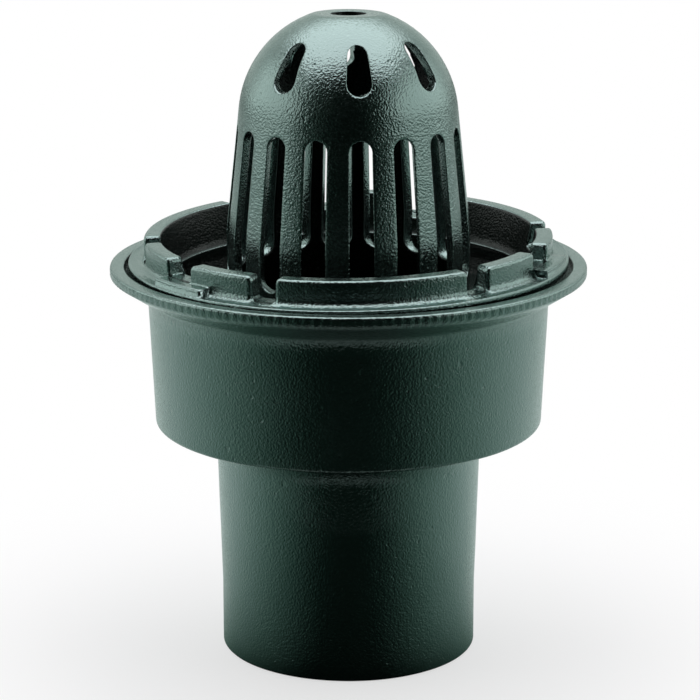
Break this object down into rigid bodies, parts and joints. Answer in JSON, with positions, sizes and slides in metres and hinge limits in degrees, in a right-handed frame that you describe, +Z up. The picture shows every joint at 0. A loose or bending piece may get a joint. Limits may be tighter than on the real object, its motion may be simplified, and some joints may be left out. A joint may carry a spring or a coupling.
{
  "type": "flat roof drain",
  "caption": "Cast roof drain: round sump with spigot outlet, castellated guard ring resting in its rim, slotted dome strainer inside.",
  "frame": {"origin": "centre of the spigot's lower end, on the outlet's axis", "axes": "+Z up along the outlet's axis; -Y is the side that the picture is taken from, +X to its right"},
  "size_m": [0.2044, 0.2044, 0.2775],
  "materials": {
    "body_coating": "satin black-green coating over as-cast iron",
    "ring_coating": "satin black-green coating over as-cast iron",
    "strainer_coating": "satin black-green coating over as-cast iron"
  },
  "bodies": {
    "root": {"drain_body": "body_coating", "guard_ring": "ring_coating", "dome_strainer": "strainer_coating"}
  },
  "joints": []
}
